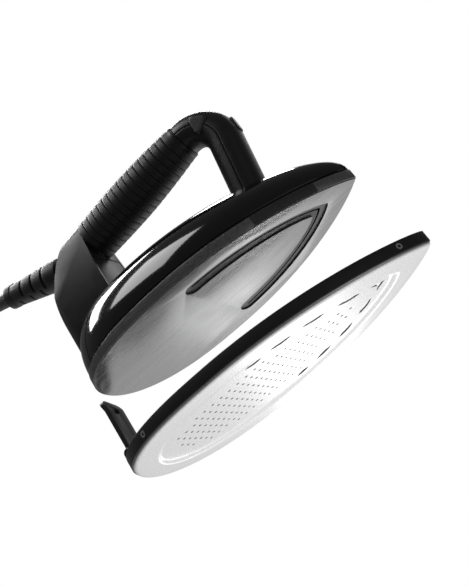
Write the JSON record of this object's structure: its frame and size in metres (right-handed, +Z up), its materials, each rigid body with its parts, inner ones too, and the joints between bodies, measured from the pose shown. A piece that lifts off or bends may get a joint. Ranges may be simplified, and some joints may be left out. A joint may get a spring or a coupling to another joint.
{
  "type": "clothes iron",
  "caption": "Steam clothes iron with arched grip, trigger buttons, braided steam hose and a clip-on perforated shoe that hangs below the sole.",
  "frame": {"origin": "middle of the shoe's ironing face, on the surface it rests on", "axes": "+X towards the nose, +Y to the left side seen from behind, +Z up"},
  "size_m": [0.5443, 0.1431, 0.1883],
  "materials": {
    "aluminium_sole": "satin",
    "aluminium_shoe": "brushed",
    "steel": "satin",
    "brass": "satin",
    "black_gloss": "gloss",
    "black_matte": "satin",
    "dark_gap": "matte",
    "grey_plastic": "matte",
    "button_plastic": "satin",
    "grip_rubber": "soft",
    "soft_rubber": "soft",
    "silicone": "soft",
    "braid": "woven",
    "board": "satin",
    "ceramic": "matte",
    "structural_grey": "matte",
    "wire": "matte"
  },
  "bodies": {
    "iron": {"soleplate": "aluminium_sole", "heating_element": "steel", "chamber_seal": "silicone", "chamber_cover": "steel", "cover_screws": "steel", "steam_inlet": "brass", "thermostat": "ceramic", "thermal_fuse": "ceramic", "temperature_sensor": "ceramic", "gap_ring": "dark_gap", "standoffs": "steel", "heat_shield": "structural_grey", "deck_screws": "steel", "body_shell": "black_gloss", "column_left": "black_matte", "column_right": "black_matte", "column_front": "grey_plastic", "terminal_block": "ceramic", "wiring": "wire", "steam_tube": "silicone", "handle_core": "structural_grey", "grip_sleeve": "grip_rubber", "grip_collar": "black_matte", "post_core": "structural_grey", "elbow_outer": "black_matte", "elbow_inner": "black_matte", "elbow_screws": "steel", "switch_board": "board", "microswitches": "black_matte", "strain_relief": "soft_rubber", "relief_collar": "soft_rubber", "hose_clamp": "steel", "hose_lead": "braid", "hose_coil": "braid", "coil_tie": "soft_rubber", "hose_tail": "braid", "connector_body": "black_matte", "connector_nozzle": "brass", "connector_pins": "steel"},
    "shoe": {"shoe_plate": "aluminium_shoe", "shoe_rim": "black_matte", "rim_rivets": "steel", "heel_bracket": "black_matte", "latch_pin": "steel", "latch_spring": "steel"},
    "latch": {"latch_lever": "black_matte"},
    "button_right": {"steam_button_right": "button_plastic", "button_spring_right": "steel"},
    "button_left": {"steam_button_left": "button_plastic", "button_spring_left": "steel"},
    "button_front": {"front_button": "button_plastic", "front_button_spring": "steel"}
  },
  "joints": [
    {"name": "shoe_clip_on", "type": "slide", "parent": "iron", "child": "shoe", "axis": [0, 0, 1], "range_m": [0, 0.0593]},
    {"name": "latch_hinge", "type": "hinge", "parent": "shoe", "child": "latch", "pos_m": [-0.115, 0, 0.02], "axis": [0, -1, 0], "range_deg": [0, 22], "stiffness_Nm_per_rad": 0.08},
    {"name": "button_right_press", "type": "slide", "parent": "iron", "child": "button_right", "axis": [0, 1, 0], "range_m": [0, 0.0012], "stiffness_N_per_m": 600, "springref_m": -0.001},
    {"name": "button_left_press", "type": "slide", "parent": "iron", "child": "button_left", "axis": [0, -1, 0], "range_m": [0, 0.0012], "stiffness_N_per_m": 600, "springref_m": -0.001},
    {"name": "button_front_press", "type": "slide", "parent": "iron", "child": "button_front", "axis": [-1, 0, 0], "range_m": [0, 0.001], "stiffness_N_per_m": 600, "springref_m": -0.001}
  ]
}
